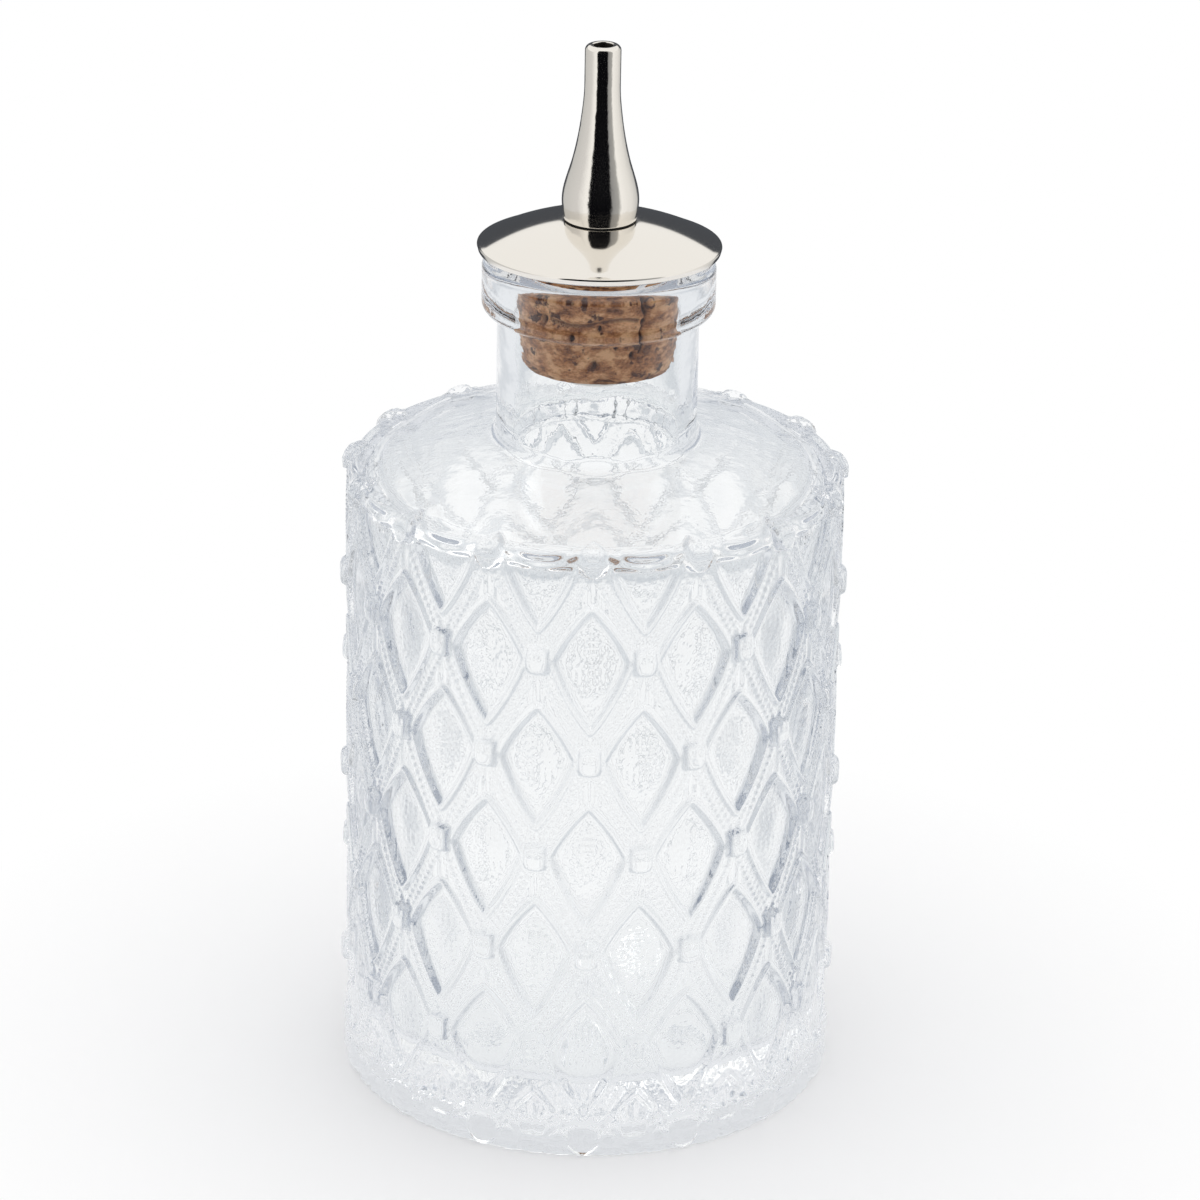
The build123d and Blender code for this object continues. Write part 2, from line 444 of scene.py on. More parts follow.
def bead_surface(across, up):
    """A proud rounded square whose upper part is fluted. Up counts down from its middle."""
    share = superellipse(across, up, bead_half_width, bead_half_height, bead_power)
    flutes = bead_flute_depth * np.abs(np.sin(math.pi * across / bead_flute_pitch))
    fluted = 1 - ease(up, -bead_flute_end - bead_flute_fade, -bead_flute_end)
    return share, band_ground + (bead_crest - band_ground - flutes * fluted) * dome(share ** 3)


def bud_surface(across, above):
    """A fluted teardrop with its round end down, and two small leaves beside it. It is 0 outside them."""
    past_widest = above + bud_widest_depth
    below_share = np.clip(-past_widest, 0, None) / (bud_bottom_depth - bud_widest_depth)
    over_share = np.clip(past_widest / (bud_top_length + bud_widest_depth), 0, 1)
    width_share = np.where(below_share > 0, dome(below_share), 1 - over_share ** bud_taper_power)
    half_width = bud_half_width * width_share
    share = np.abs(across) / np.maximum(half_width, tiny)
    flutes = bud_flute_depth * np.cos(math.pi * bud_flute_count * np.clip(share, 0, 1))
    rise = bud_rise * (1 - (1 - bud_tip_rise_share) * over_share)
    bud = np.where((share < 1) & (half_width > 0), dome(share ** 2) * (rise + flutes), 0)
    beside = np.abs(across) - leaf_offset
    leaf_up = above - leaf_height + leaf_slant * beside
    leaf = superellipse(beside, leaf_up, leaf_half_width, leaf_half_height, 2)
    return np.maximum(bud, leaf_rise * dome(leaf))


def foot_surface(across, across_between, height):
    """What the foot adds: the toothed band with arches, fans and shells, and by themselves the bulbs."""
    in_band = 1 - ease(height, foot_band_height - foot_band_fade, foot_band_height)
    tooth_share = np.abs(nearest(across, 0, tooth_pitch)) / (tooth_pitch / 2)
    band = (foot_rise - tooth_depth * tooth_share) * in_band

    from_centre = np.hypot(across, arch_flatness * (height - arch_height))
    arch = arch_rise * bump(from_centre - arch_radius, arch_half_width)
    fan_turn = np.arctan2(across, height - arch_height)
    over_arch = bump(from_centre - arch_radius - fan_reach / 2, fan_reach / 2)
    in_fan = over_arch * ease(height, arch_height, foot_band_height)
    fan = fan_rise * np.cos(2 * math.pi * fan_turn / fan_line_turn) * in_fan

    shell_up = height - lowest_row_height
    shell_turn = np.arctan2(across_between, shell_up)
    from_shell = np.hypot(across_between, shell_up) - shell_middle
    over_band = ease(height, foot_band_height - foot_band_fade, foot_band_height + foot_band_fade)
    in_shell = bump(from_shell, shell_half_reach) * over_band
    shell = shell_rise * np.cos(2 * math.pi * shell_turn / shell_line_turn) * in_shell

    bulb = np.hypot(across, height - bulb_height) / bulb_radius
    return band + arch + fan + shell, np.where(bulb < 1, bulb_crest * dome(bulb), 0)


def relief(turn, height):
    """How far the moulded surface stands out from the body radius, in millimetres."""
    columns = turn / column_turn
    rows = (top_row_height - height) / half_row_pitch
    across = nearest(columns, 0, 1) * column_width
    across_between = nearest(columns, 1 / 2, 1) * column_width
    odd_up = nearest(rows, 1, 2) * half_row_pitch
    even_up = nearest(rows, 0, 2) * half_row_pitch
    in_odd = lattice_share(across, odd_up) <= 1
    cell_across = np.where(in_odd, across, across_between)
    surface = cell_surface(cell_across, np.where(in_odd, odd_up, even_up))

    on_even_row = np.abs(even_up) < half_row_pitch / 2
    bead_across = np.where(on_even_row, across, across_between)
    bead_share, bead = bead_surface(bead_across, np.where(on_even_row, even_up, odd_up))
    has_bead = (rows > 1 / 2) & (rows < half_row_count - 1 / 2) & (bead_share < 1)
    surface = np.where(has_bead, np.maximum(surface, bead), surface)

    surface = surface * ease(shoulder_edge_height - height, rim_height - rim_fade, rim_height)
    sag = scallop_sag * (1 - (across_between / scallop_half_width) ** 2)
    from_scallop = height - shoulder_edge_height + scallop_drop + sag
    scallop = bump(across_between, scallop_half_width) * bump(from_scallop, scallop_half_height)
    surface = surface - scallop_depth * scallop
    bud = bud_surface(across, height - shoulder_edge_height)
    surface = np.where(bud > 0, np.maximum(surface, bud), surface)

    surface = surface * ease(height, foot_band_height - foot_band_fade, foot_band_height)
    foot, bulb = foot_surface(across, across_between, height)
    return np.where(bulb > 0, np.maximum(surface + foot, bulb), surface + foot)


def spaced(length):
    """Evenly spaced places along a stretch of the relief, without its end."""
    steps = math.ceil(length / relief_row_step)
    return [length * step / steps for step in range(steps)]


def relief_ring(radius, height, angle, reach):
    """A ring whose corners stand out from a circle by their reach, upwards by an angle."""
    return ring(radius + reach * math.cos(angle), height + reach * math.sin(angle), relief_turn_steps)


def relief_rings():
    """Rings over the body wall, from the heel to a little way in from the shoulder's edge."""
    slope = math.atan(shoulder_slope)
    half_angle = (math.pi / 2 + slope) / 2
    edge_reach = shoulder_rounding / math.tan(half_angle)
    edge_sweep = math.pi - 2 * half_angle
    edge_bottom = shoulder_edge_height - edge_reach
    edge_end = edge_bottom + shoulder_rounding * edge_sweep
    heel_length = heel_rounding * math.pi / 2
    turns = np.arange(relief_turn_steps) * (2 * math.pi / relief_turn_steps)
    rings = []
    for along in spaced(heel_length):
        angle = along / heel_rounding - math.pi / 2
        grown = relief(turns, heel_rounding * (1 + angle)) - foot_rise
        reach = heel_rounding + grown * along / heel_length
        rings.append(relief_ring(foot_radius - heel_rounding, heel_rounding, angle, reach))
    for along in spaced(edge_bottom - heel_rounding):
        height = heel_rounding + along
        rings.append(relief_ring(body_radius, height, 0, relief(turns, height)))
    for along in spaced(shoulder_rounding * edge_sweep):
        angle = along / shoulder_rounding
        reach = shoulder_rounding + relief(turns, edge_bottom + along)
        rings.append(relief_ring(body_radius - shoulder_rounding, edge_bottom, angle, reach))
    for along in spaced(bud_top_length) + [bud_top_length]:
        radius = body_radius - (edge_reach + along) * math.cos(slope)
        height = shoulder_edge_height + (edge_reach + along) * math.sin(slope)
        rings.append(relief_ring(radius, height, edge_sweep, relief(turns, edge_end + along)))
    return rings


def inside_wave(turn, height):
    """How far the slightly uneven inner wall stands in from its round, in millimetres."""
    beside_rows = math.cos(math.pi * (top_row_height - height) / half_row_pitch)
    cells = np.cos(column_count * turn) * beside_rows
    slow = np.sin(slow_wave_count * turn + height / slow_wave_length)
    in_wall = ease(height, base_thickness + cavity_floor_rounding, base_thickness + half_row_pitch / 2)
    in_wall = in_wall * (1 - ease(height, shoulder_edge_height - half_row_pitch / 2, shoulder_edge_height))
    in_neck = ease(height, neck_root_height, neck_root_height + neck_inner_rounding)
    in_neck = in_neck * (1 - ease(height, cork_bottom_height - neck_inner_rounding, cork_bottom_height))
    return inner_wave * (cells + slow) / 2 * in_wall + neck_wave * slow * in_neck


def inside_rings():
    """Rings down the inside, from the mouth to the middle of the floor."""
    inner_neck_height = neck_root_height - shoulder_thickness
    inner_neck_height += shoulder_slope * (neck_radius - neck_bore_radius)
    inner_shoulder_height = shoulder_edge_height - shoulder_thickness + shoulder_slope * wall_thickness
    outline = rounded([
        (lip_radius - lip_upper_rounding, lip_top_height, 0),
        (neck_bore_radius, lip_top_height, mouth_rounding),
        (neck_bore_radius, inner_neck_height, neck_inner_rounding),
        (cavity_radius, inner_shoulder_height, cavity_shoulder_rounding),
        (cavity_radius, base_thickness, cavity_floor_rounding),
        (0, base_thickness, 0),
    ])
    turns = np.arange(inside_turn_steps) * (2 * math.pi / inside_turn_steps)
    rings = []
    for (radius, height), (next_radius, next_height) in zip(outline[1:-1], outline[2:-1]):
        steps = max(1, math.ceil(abs(next_height - height) / inside_row_step))
        for step in range(steps):
            share = step / steps
            level = height + (next_height - height) * share
            reach = radius + (next_radius - radius) * share - inside_wave(turns, level)
            rings.append(ring(reach, level, inside_turn_steps))
    floor_radius = outline[-2][0]
    floor_steps = math.ceil(floor_radius / inside_row_step)
    for step in range(1, floor_steps):
        reach = floor_radius * (1 - step / floor_steps)
        rise = floor_dome * (1 - (reach / floor_radius) ** 2)
        wave = floor_wave * np.sin(column_count * turns) * np.sin(reach / floor_wave_length)
        wave = wave * ease(reach, 0, cavity_radius / 2) * step / floor_steps
        rings.append(ring(reach, base_thickness + rise + wave, inside_turn_steps))
    rings.append(ring(0, base_thickness + floor_dome, 1))
    return rings


def coat(piece, material, second, is_second):
    """Give a piece two materials. The second covers the faces where is_second is true."""
    piece.data.materials.append(material)
    piece.data.materials.append(second)
    piece.data.polygons.foreach_set("material_index", is_second.astype(np.int32))


def bottle():
    """The moulded glass bottle: relief outside, smooth neck and a slightly wavy inside."""
    slope_start = shoulder_rounding + 2 * bud_top_length
    under = rounded([
        (0, recess_depth, 0),
        (recess_radius, recess_depth, recess_rounding),
        (recess_radius + recess_slope, 0, recess_rounding),
        (foot_radius - 2 * heel_rounding, 0, 0),
    ])
    over = rounded([
        (body_radius - slope_start, shoulder_edge_height + shoulder_slope * slope_start, 0),
        (neck_radius, neck_root_height, neck_root_rounding),
        (neck_radius, lip_bottom_height, lip_root_rounding),
        (lip_radius, lip_bottom_height, lip_lower_rounding),
        (lip_radius, lip_top_height, lip_upper_rounding),
        (neck_bore_radius + mouth_rounding, lip_top_height, 0),
    ])
    rings = [ring(0, recess_depth, 1)]
    turns = np.arange(plain_turn_steps) * (2 * math.pi / plain_turn_steps)
    for step in range(1, star_steps):
        reach = star_outer_radius * step / star_steps
        depth = star_depth * np.sin(math.pi * step / star_steps) * np.cos(column_count * turns)
        rings.append(ring(reach, recess_depth + depth, plain_turn_steps))
    rings += [ring(radius, height, plain_turn_steps) for radius, height in under[1:]]
    rings += relief_rings()
    rings += [ring(radius, height, plain_turn_steps) for radius, height in over[:-1]]
    outer_face_count = sum(len(joined(0, len(low), 0, len(high))) for low, high in zip(rings, rings[1:]))
    piece = skin("moulded_bottle", rings + inside_rings())
    centres = np.empty(3 * len(piece.data.polygons))
    piece.data.polygons.foreach_get("center", centres)
    inside = np.arange(len(piece.data.polygons)) >= outer_face_count
    inside = inside & (centres[2::3] < neck_root_height * metres_per_mm)
    outer_glass = clear_glass("clear_glass", glass_roughness)
    coat(piece, outer_glass, clear_glass("glass_inside", inside_roughness), inside)
    return piece


def smooth_profile(points):
    """Radii and heights on a smooth curve through points of height, radius and slope."""
    outline = []
    for (low, low_radius, low_slope), (high, high_radius, high_slope) in zip(points, points[1:]):
        rise = high - low
        for step in range(spout_curve_steps):
            share = step / spout_curve_steps
            rest = 1 - share
            radius = rest ** 2 * ((1 + 2 * share) * low_radius + share * rise * low_slope)
            radius += share ** 2 * ((3 - 2 * share) * high_radius - rest * rise * high_slope)
            outline.append((radius, low + rise * share))
    return outline


def spout():
    """The hollow turned spout with its rounded tip."""
    base = spout_base_height
    tip = base + spout_height
    shape = [
        (0, spout_foot_radius, spout_foot_slope),
        (spout_belly_height, spout_belly_radius, 0),
        (spout_waist_height, spout_waist_radius, spout_waist_slope),
        (spout_throat_height, spout_throat_radius, spout_throat_slope),
        (spout_tip_start_height, spout_tip_radius, 0),
        (spout_height - tip_outer_rounding, spout_tip_radius, 0),
    ]
    side = [(radius, base + height) for radius, height in smooth_profile(shape)]
    lip = rounded([
        (spout_tip_radius, tip - 2 * tip_outer_rounding, 0),
        (spout_tip_radius, tip, tip_outer_rounding),
        (outlet_radius + tip_inner_rounding, tip, tip_inner_rounding),
        (outlet_radius, tip - outlet_depth / 2, 0),
    ])[1:]
    inside = [
        (outlet_radius, tip - outlet_depth),
        (stem_bore_radius, tip - outlet_depth),
        (stem_bore_radius, stem_top_height + socket_end_clearance),
        (stem_hole_radius, stem_top_height + socket_end_clearance),
        (stem_hole_radius, base),
    ]
    piece = turned("turned_spout", side + lip + inside)
    in_bore = np.arange(len(piece.data.polygons)) >= (len(side) + len(lip) - 2) * piece_turn_steps
    outer_metal = bright_metal("spout_metal", nickel_colour, spout_finish)
    # Painted shade: the bore's metal is near black
    coat(piece, outer_metal, bright_metal("bore_shade_metal", bore_shade_colour, bore_finish), in_bore)
    return piece


def disc():
    """The polished disc, domed up to the spout's seat. It sits a little crooked, as in the photograph."""
    rim_top = cork_top_height + disc_rim_thickness
    rim = rounded([
        (stem_hole_radius, cork_top_height, 0),
        (disc_radius - disc_rim_undercut, cork_top_height, disc_rim_rounding),
        (disc_radius, rim_top, disc_rim_rounding),
        (disc_radius - 2 * disc_rim_rounding, rim_top + disc_rim_rounding / 2, 0),
    ])
    start = np.array(rim[-1])
    middle = np.array([
        disc_radius - disc_dome_share * (disc_radius - disc_seat_radius),
        rim_top + disc_dome_rise_share * (disc_top_height - rim_top),
    ])
    finish = np.array([disc_seat_radius, disc_top_height])
    dome_line = []
    for step in range(1, disc_dome_steps + 1):
        share = step / disc_dome_steps
        rest = 1 - share
        dome_line.append(tuple(rest ** 2 * start + 2 * share * rest * middle + share ** 2 * finish))
    rings = []
    for radius, height in rim + dome_line + [(stem_hole_radius, disc_top_height)]:
        corners = ring(radius, height, piece_turn_steps)
        lean = disc_tilt_rise * corners[:, 1] / disc_radius
        corners[:, 2] -= lean * ease(radius, disc_seat_radius, disc_radius)
        rings.append(corners)
    piece = skin("polished_disc", rings, closed=True)
    underside = np.arange(len(piece.data.polygons)) < piece_turn_steps
    top_metal = bright_metal("disc_metal", nickel_colour, disc_finish)
    coat(piece, top_metal, bright_metal("disc_underside", nickel_colour, underside_finish), underside)
    return piece


def cork_dent(turn, height):
    """How far the cut bark lies behind the smooth taper: a crack, a ledge, pits and chips at the bottom."""
    across = turn * cork_bottom_radius
    crack_middle = crack_across + crack_wander * np.sin(height * crack_wander_pace)
    in_crack = bump(across - crack_middle, crack_half_width)
    dents = crack_depth * in_crack * ease(height, crack_bottom, crack_bottom + crack_fade)
    ledge_middle = ledge_height + ledge_wander * np.sin(across * ledge_wander_pace)
    in_reach = 1 - ease(np.abs(across), ledge_reach / 2, ledge_reach)
    dents = dents + ledge_depth * bump(height - ledge_middle, ledge_half_height) * in_reach
    for pit_across, pit_height, pit_size in cork_pits:
        distance = np.hypot(across - pit_across, (height - pit_height) / pit_stretch)
        dents = dents + pit_depth * bump(distance, pit_size)
    second_chips = np.sin(across * chip_pace * chip_second_share + chip_second_shift)
    chips = np.clip(np.sin(across * chip_pace) + second_chips, 0, None)
    near_bottom = 1 - ease(height, cork_bottom_height, cork_bottom_height + chip_height)
    return dents + chip_depth * chips * near_bottom


def cork():
    """The tapered cork, squeezed where it meets the mouth, with its dents."""
    turns = np.arange(cork_turn_steps) * (2 * math.pi / cork_turn_steps)
    signed = nearest(turns, 0, 2 * math.pi)
    rings = [ring(stem_hole_radius, cork_bottom_height, cork_turn_steps)]
    rings.append(ring(cork_bottom_radius - cork_edge_rounding, cork_bottom_height, cork_turn_steps))
    steps = math.ceil((cork_top_height - cork_bottom_height) / cork_row_step)
    for step in range(steps + 1):
        height = cork_bottom_height + (cork_top_height - cork_bottom_height) * step / steps
        height = max(height, cork_bottom_height + cork_edge_rounding * cork_bevel_share)
        radius = cork_bottom_radius + cork_taper * (height - cork_bottom_height)
        edge = 1 - ease(height, cork_bottom_height, cork_bottom_height + 2 * cork_edge_rounding)
        radius = radius - cork_edge_rounding * edge
        squeeze = bump(height - lip_top_height + squeeze_drop, squeeze_half_height) * squeeze_rise
        pressed = min(radius + squeeze, max(radius, neck_bore_radius + squeeze_overlap))
        rings.append(ring(pressed - cork_dent(signed, height), height, cork_turn_steps))
    rings.append(ring(stem_hole_radius, cork_top_height, cork_turn_steps))
    piece = skin("natural_cork", rings, closed=True)
    piece.data.materials.append(natural_cork())
    return piece


def stem():
    """The hollow stem with the flange under the cork."""
    piece = turned("stem_with_flange", rounded([
        (stem_bore_radius, flange_bottom_height, 0),
        (flange_radius, flange_bottom_height, flange_rounding),
        (flange_radius, cork_bottom_height, 0),
        (stem_radius, cork_bottom_height, 0),
        (stem_radius, stem_top_height, 0),
        (stem_bore_radius, stem_top_height, 0),
    ]))
    piece.data.materials.append(bright_metal("stem_metal", nickel_colour, stem_finish))
    return piece


def seal():
    """The thin ring between disc and spout, with a round outer edge."""
    bulge = (seal_thickness - seal_squeeze_gap) / 2
    outline = [(stem_hole_radius, disc_top_height)]
    for step in range(seal_edge_steps + 1):
        angle = math.pi * (step / seal_edge_steps - 1 / 2)
        height = disc_top_height + bulge + bulge * math.sin(angle)
        outline.append((seal_radius - bulge + bulge * math.cos(angle), height))
    outline.append((stem_hole_radius, spout_base_height - seal_squeeze_gap))
    piece = turned("dark_seal", outline)
    # The ring's black colour is painted shade in the seam between disc and spout
    piece.data.materials.append(seal_rubber())
    return piece


# Glass. Light that stays caught in it goes on straight after this many reflections or bounces
glass_colour = (0.985, 0.992, 0.99, 1)
glass_index = 1.46
glass_roughness = 0.0
inside_roughness = 0.09
glass_ripple_scale = 330.0
glass_ripple_strength = 0.3
straight_after_reflections = 3.5
straight_after_bounces = 9.5
caught_tint = (0.8, 0.82, 0.85, 1)

# Metal. A finish is its roughness, and the scale and strength of its fine ripple
nickel_colour = (0.87, 0.84, 0.79, 1)
# Painted shade: the metal inside the spout's bore is coloured near black
bore_shade_colour = (0.05, 0.045, 0.04, 1)
disc_finish = (0.08, 200.0, 0.02)
underside_finish = (0.45, 500.0, 0.1)
spout_finish = (0.1, 900.0, 0.16)
bore_finish = (0.55, 900.0, 0.3)
stem_finish = (0.3, 500.0, 0.2)

# Ripple of glass and metal. Scales of all patterns count per metre, and depths are in metres
ripple_detail = 3.0
ripple_depth = 0.0002

# Cork bark. Each tone has its place in the grain and its colour
cork_roughness = 0.8
cork_layer_scale = (1, 1, 1.6)
cork_grain_scale = 460.0
cork_grain_detail = 9.0
cork_grain_roughness = 0.74
cork_grain_strength = 0.7
cork_grain_depth = 0.0004
cork_tones = [
    (0.37, (0.14, 0.048, 0.02, 1)),
    (0.48, (0.52, 0.22, 0.09, 1)),
    (0.58, (0.86, 0.5, 0.265, 1)),
]
pore_scale = 620.0
pore_detail = 4.0
pore_grain_roughness = 0.6
pore_start = 0.57
pore_end = 0.63
pore_colour = (0.1, 0.035, 0.02, 1)
# Painted shade: the cork's colour goes dark where its surface is hollow, in dents, crack and ledge
hollow_shade_start = 0.5
hollow_shade_end = 0.44
painted_hollow_shade = (0.07, 0.022, 0.014, 1)

# Seal ring, dull like rubber. Its black colour is painted shade in the seam between disc and spout
seam_shade_colour = (0.03, 0.03, 0.03, 1)
rubber_grain_scale = 3000.0
rubber_grain_detail = 2.0
rubber_low_roughness = 0.5
rubber_high_roughness = 0.75

white = (1, 1, 1, 1)


def node(tree, kind, **values):
    """A new node, with its inputs or settings by name."""
    made = tree.nodes.new(kind)
    for name, value in values.items():
        socket = name.replace("_", " ").title()
        if socket in made.inputs:
            made.inputs[socket].default_value = value
        else:
            setattr(made, name, value)
    return made


def feed(tree, socket, value):
    """Set a socket to a value, or link it to another node's output."""
    if isinstance(value, bpy.types.NodeSocket):
        tree.links.new(value, socket)
    else:
        socket.default_value = value


def worked(tree, operation, first, second, **settings):
    """The result of one step of arithmetic on two numbers or links."""
    made = node(tree, "ShaderNodeMath", operation=operation, **settings)
    feed(tree, made.inputs[0], first)
    feed(tree, made.inputs[1], second)
    return made.outputs["Value"]


def worked_place(tree, operation, first, *second):
    """The outputs of one step of arithmetic on places."""
    made = node(tree, "ShaderNodeVectorMath", operation=operation)
    feed(tree, made.inputs[0], first)
    for value in second:
        feed(tree, made.inputs[1], value)
    return made.outputs


def laid_over(tree, value, low, high, to_low=0.0, to_high=1.0):
    """A value laid over a range: 0 at low and 1 at high, or the two other ends that are given."""
    made = node(tree, "ShaderNodeMapRange", from_min=low, from_max=high, to_min=to_low, to_max=to_high)
    tree.links.new(value, made.inputs["Value"])
    return made.outputs["Result"]


def blend(tree, share, first, second):
    """A colour mix. First and second are colours or links to colours."""
    mix = node(tree, "ShaderNodeMix", data_type="RGBA")
    tree.links.new(share, mix.inputs[0])
    feed(tree, mix.inputs[6], first)
    feed(tree, mix.inputs[7], second)
    return mix.outputs[2]


def ramp(tree, share, stops, interpolation="LINEAR"):
    """A colour by a share, from stops in rising order. A stop is its share and its colour."""
    made = node(tree, "ShaderNodeValToRGB")
    made.color_ramp.interpolation = interpolation
    elements = made.color_ramp.elements
    for element, (place, colour) in zip(elements, (stops[0], stops[-1])):
        element.position = place
        element.color = colour
    for place, colour in stops[1:-1]:
        elements.new(place).color = colour
    tree.links.new(share, made.inputs["Fac"])
    return made.outputs["Color"]


def noise(tree, place, **values):
    """Fine noise over a place."""
    made = node(tree, "ShaderNodeTexNoise", **values)
    tree.links.new(place, made.inputs["Vector"])
    return made.outputs["Fac"]


def roughen(tree, surface, height, strength, depth):
    """Let a pattern of heights tilt a surface."""
    made = node(tree, "ShaderNodeBump", strength=strength, distance=depth)
    tree.links.new(height, made.inputs["Height"])
    tree.links.new(made.outputs["Normal"], surface.inputs["Normal"])


def mixed(tree, share, first, second):
    """A mix of two surfaces."""
    made = node(tree, "ShaderNodeMixShader")
    tree.links.new(share, made.inputs["Fac"])
    tree.links.new(first, made.inputs[1])
    tree.links.new(second, made.inputs[2])
    return made.outputs["Shader"]


def shader(name):
    """A new material with its node tree and its Principled shader."""
    material = bpy.data.materials.new(name)
    material.use_nodes = True
    tree = material.node_tree
    return material, tree, tree.nodes["Principled BSDF"]


def clear_glass(name, roughness):
    """Clear moulded glass. Light that stays caught in it goes on straight, slightly darker."""
    material, tree, glass = shader(name)
    glass.inputs["Base Color"].default_value = glass_colour
    glass.inputs["Roughness"].default_value = roughness
    glass.inputs["IOR"].default_value = glass_index
    glass.inputs["Transmission Weight"].default_value = 1
    place = node(tree, "ShaderNodeTexCoord").outputs["Object"]
    ripple = noise(tree, place, scale=glass_ripple_scale, detail=ripple_detail)
    roughen(tree, glass, ripple, glass_ripple_strength, ripple_depth)
    path = node(tree, "ShaderNodeLightPath").outputs
    caught = worked(tree, "GREATER_THAN", path["Glossy Depth"], straight_after_reflections)
    deep = worked(tree, "GREATER_THAN", path["Ray Depth"], straight_after_bounces)
    trapped = worked(tree, "MAXIMUM", caught, deep)
    see_through = node(tree, "ShaderNodeBsdfTransparent")
    tree.links.new(blend(tree, trapped, white, caught_tint), see_through.inputs["Color"])
    passed = worked(tree, "MAXIMUM", trapped, path["Is Shadow Ray"])
    surface = mixed(tree, passed, glass.outputs["BSDF"], see_through.outputs["BSDF"])
    tree.links.new(surface, tree.nodes["Material Output"].inputs["Surface"])
    return material


def bright_metal(name, colour, finish):
    """Polished or dull nickel with a slight unevenness."""
    roughness, ripple_scale, ripple_strength = finish
    material, tree, metal = shader(name)
    metal.inputs["Base Color"].default_value = colour
    metal.inputs["Metallic"].default_value = 1
    metal.inputs["Roughness"].default_value = roughness
    place = node(tree, "ShaderNodeTexCoord").outputs["Object"]
    ripple = noise(tree, place, scale=ripple_scale, detail=ripple_detail)
    roughen(tree, metal, ripple, ripple_strength, ripple_depth)
    return material


def natural_cork():
    """Cork bark: warm layers with dark pores, and painted shade where it is dented."""
    material, tree, bark = shader("natural_cork")
    bark.inputs["Roughness"].default_value = cork_roughness
    place = node(tree, "ShaderNodeTexCoord").outputs["Object"]
    layers = node(tree, "ShaderNodeMapping", scale=cork_layer_scale)
    tree.links.new(place, layers.inputs["Vector"])
    grain = noise(tree, layers.outputs["Vector"], scale=cork_grain_scale, detail=cork_grain_detail,
                  roughness=cork_grain_roughness)
    pores = noise(tree, place, scale=pore_scale, detail=pore_detail, roughness=pore_grain_roughness)
    pore_share = laid_over(tree, pores, pore_start, pore_end)
    colour = blend(tree, pore_share, ramp(tree, grain, cork_tones), pore_colour)
    # Painted shade, darker where the surface is hollow
    curve = node(tree, "ShaderNodeNewGeometry").outputs["Pointiness"]
    colour = blend(tree, laid_over(tree, curve, hollow_shade_start, hollow_shade_end), colour, painted_hollow_shade)
    tree.links.new(colour, bark.inputs["Base Color"])
    roughen(tree, bark, grain, cork_grain_strength, cork_grain_depth)
    return material


def seal_rubber():
    """Dull rubber, black as painted shade in the seam between disc and spout."""
    material, tree, rubber = shader("seal_rubber")
    rubber.inputs["Base Color"].default_value = seam_shade_colour
    place = node(tree, "ShaderNodeTexCoord").outputs["Object"]
    grain = noise(tree, place, scale=rubber_grain_scale, detail=rubber_grain_detail)
    roughness = laid_over(tree, grain, 0.0, 1.0, rubber_low_roughness, rubber_high_roughness)
    tree.links.new(roughness, rubber.inputs["Roughness"])
    return material


def dress(piece, body, slot, *nodes):
    """Give a piece its body and hide the CAD nodes that it stands for. Its slot is not used."""
    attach(piece, body)
    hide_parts(*nodes)


dress(bottle(), "bottle", "clear_glass", "glass_bottle")
dress(cork(), "stopper", "natural_cork", "cork_stopper")
dress(stem(), "stopper", "stem_metal", "stem_tube")
dress(disc(), "stopper", "bright_metal", "cap_disc")
dress(seal(), "seal", "seal_rubber", "spout_seal")
dress(spout(), "spout", "bright_metal", "spout")


# Camera, in metres and degrees, as fitted to the photograph
camera_place = (0.000793, -0.50915, 0.27274)
camera_pitch = math.radians(23.03)
camera_roll = math.radians(1.10)
camera_lens = 146.46

# What metal shows of the studio, once round from the back. A stop is its share of the turn and its colour
back_card = (0.07, 0.075, 0.085, 1)
front_card = (0.003, 0.003, 0.004, 1)
side_card = (0.6, 0.6, 0.59, 1)
warm_white = (1, 0.99, 0.97, 1)
studio_stops = [
    (0, back_card),
    (0.09, back_card),
    (0.11, side_card),
    (0.3, (0.72, 0.71, 0.7, 1)),
    (0.37, warm_white),
    (0.395, warm_white),
    (0.405, front_card),
    (0.585, front_card),
    (0.6, (0.3, 0.3, 0.3, 1)),
    (0.66, (0.42, 0.42, 0.41, 1)),
    (0.68, warm_white),
    (0.8, (0.85, 0.84, 0.82, 1)),
    (0.89, side_card),
    (0.91, back_card),
    (1, back_card),
]

# Floor, in metres. Starts and ends count from the bottle, and in front of it they are negative
floor_reach = 1.6
card_start = 0.15
card_fade = 0.03
white_start = 0.03
white_end = 0.085
paper_roughness = 0.9
paper_shine = 0.1
paper_colour = (0.95, 0.95, 0.96, 1)
dark_front_start = -0.06
dark_front_end = -0.16
dark_front_colour = (0.05, 0.05, 0.05, 1)

# The bright panel that shows through the glass. A stop's share counts from the middle over the whole reach
panel_centre = 0.13
panel_half_width = 0.07
panel_half_depth = 0.16
panel_edge_share = 0.4
panel_stops = [
    (0.2, (0.99, 0.99, 1, 1)),
    (0.55, (0.6, 0.63, 0.67, 1)),
    (1, (0.8, 0.82, 0.85, 1)),
]

# Sky, by the height of a direction, where a share of 0.5 is level. Above the cards metal shows it open,
# except towards the camera
sky_stops = [
    (0.48, (0.6, 0.63, 0.67, 1)),
    (0.6, (0.78, 0.8, 0.83, 1)),
    (0.75, white),
]
open_sky_start = 0.33
open_sky_end = 0.35
open_front_start = -0.45
open_front_end = -0.4
open_sky_colour = (0.97, 0.96, 0.94, 1)
diffuse_sky_colour = (0.9, 0.9, 0.9, 1)

# Lamp, in metres and watts
lamp_width = 0.8
lamp_depth = 0.6
lamp_watts = 1.5
lamp_place = (-0.5, 0.4, 0.9)
lamp_tilt = (math.radians(-24), math.radians(-27), 0)


